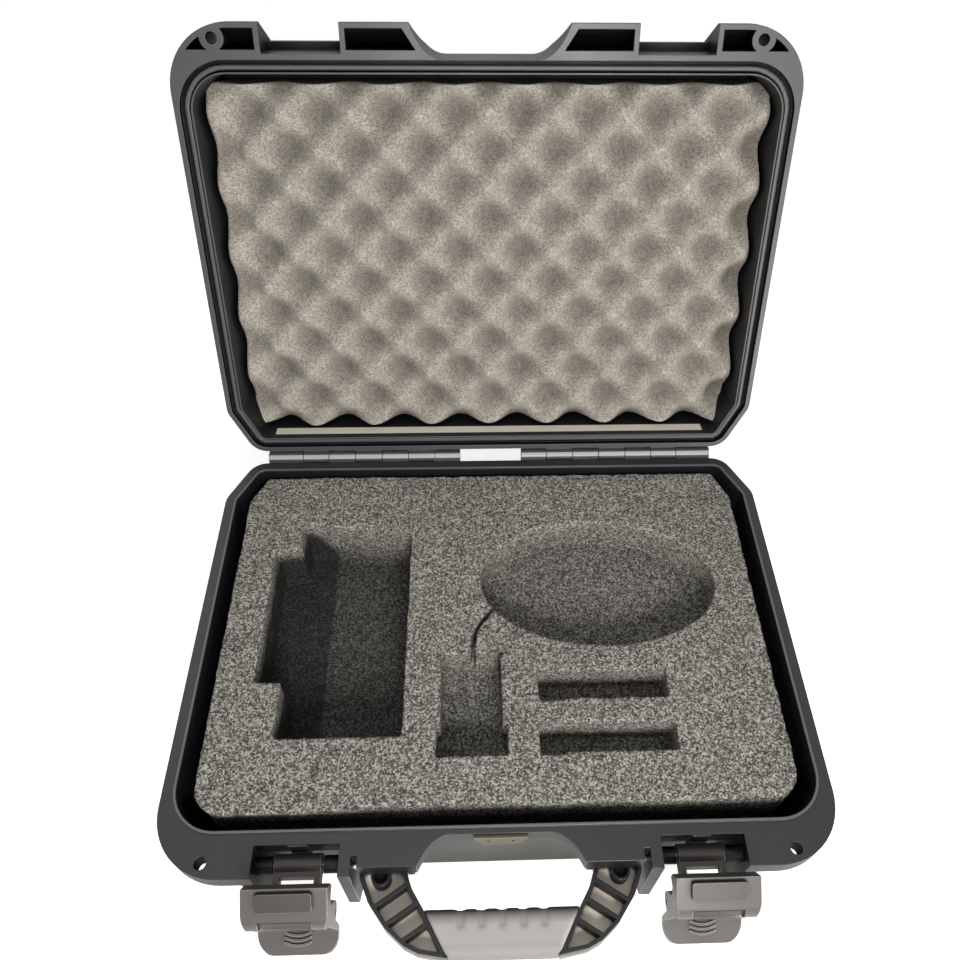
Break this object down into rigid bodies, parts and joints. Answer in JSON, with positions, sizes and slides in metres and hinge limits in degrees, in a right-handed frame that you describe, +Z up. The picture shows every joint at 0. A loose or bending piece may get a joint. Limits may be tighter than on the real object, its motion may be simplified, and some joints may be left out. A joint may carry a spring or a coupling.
{
  "type": "protective equipment case",
  "caption": "Small hard carrying case with a hinged lid, draw latches, a folding handle and cut foam.",
  "frame": {"origin": "centre of the flat underside", "axes": "+Z up, +Y from the handle side to the hinge, X along the hinge"},
  "size_m": [0.363, 0.4362, 0.3384],
  "materials": {
    "shell": "fine grained moulded plastic",
    "seal": "dull",
    "pin": "drawn",
    "foam": "dense closed cell foam",
    "lid_foam": "open cell foam",
    "vent": "moulded",
    "handle": "moulded",
    "grip": "soft overmoulding",
    "link": "moulded",
    "latch": "moulded",
    "slide": "moulded"
  },
  "bodies": {
    "base": {"base_shell": "shell", "base_pad": "foam", "base_foam": "foam", "vent_cover": "vent", "hinge_pin_left": "pin", "hinge_pin_right": "pin", "handle_pin_left": "pin", "handle_pin_right": "pin", "latch_left_link_pin": "pin", "latch_right_link_pin": "pin"},
    "lid": {"lid_shell": "shell", "gasket": "seal", "lid_foam": "lid_foam"},
    "handle": {"handle_frame": "handle", "handle_grip": "grip"},
    "latch_left_link": {"latch_left_link": "link", "latch_left_body_pin": "pin"},
    "latch_left_body": {"latch_left_body": "latch"},
    "latch_left_slide": {"latch_left_slide": "slide"},
    "latch_right_link": {"latch_right_link": "link", "latch_right_body_pin": "pin"},
    "latch_right_body": {"latch_right_body": "latch"},
    "latch_right_slide": {"latch_right_slide": "slide"}
  },
  "joints": [
    {"name": "lid_hinge", "type": "hinge", "parent": "base", "child": "lid", "pos_m": [0, 0.1365, 0.077], "axis": [1, 0, 0], "range_deg": [0, 109.6]},
    {"name": "handle_hinge", "type": "hinge", "parent": "base", "child": "handle", "pos_m": [0, -0.131, 0.05775], "axis": [1, 0, 0], "range_deg": [0, 90]},
    {"name": "latch_left_link_hinge", "type": "hinge", "parent": "base", "child": "latch_left_link", "pos_m": [-0.106, -0.1315, 0.064], "axis": [-1, 0, 0], "range_deg": [0, 85]},
    {"name": "latch_left_body_hinge", "type": "hinge", "parent": "latch_left_link", "child": "latch_left_body", "pos_m": [-0.106, -0.154, 0.064], "axis": [-1, 0, 0], "range_deg": [-85, 0]},
    {"name": "latch_left_lock_slide", "type": "slide", "parent": "latch_left_body", "child": "latch_left_slide", "axis": [1, 0, 0], "range_m": [0, 0.005]},
    {"name": "latch_right_link_hinge", "type": "hinge", "parent": "base", "child": "latch_right_link", "pos_m": [0.106, -0.1315, 0.064], "axis": [-1, 0, 0], "range_deg": [0, 85]},
    {"name": "latch_right_body_hinge", "type": "hinge", "parent": "latch_right_link", "child": "latch_right_body", "pos_m": [0.106, -0.154, 0.064], "axis": [-1, 0, 0], "range_deg": [-85, 0]},
    {"name": "latch_right_lock_slide", "type": "slide", "parent": "latch_right_body", "child": "latch_right_slide", "axis": [1, 0, 0], "range_m": [0, 0.005]}
  ],
  "couplings": [
    {"joint": "latch_left_body_hinge", "follows": "latch_left_link_hinge", "ratio": -1},
    {"joint": "latch_right_body_hinge", "follows": "latch_right_link_hinge", "ratio": -1}
  ]
}
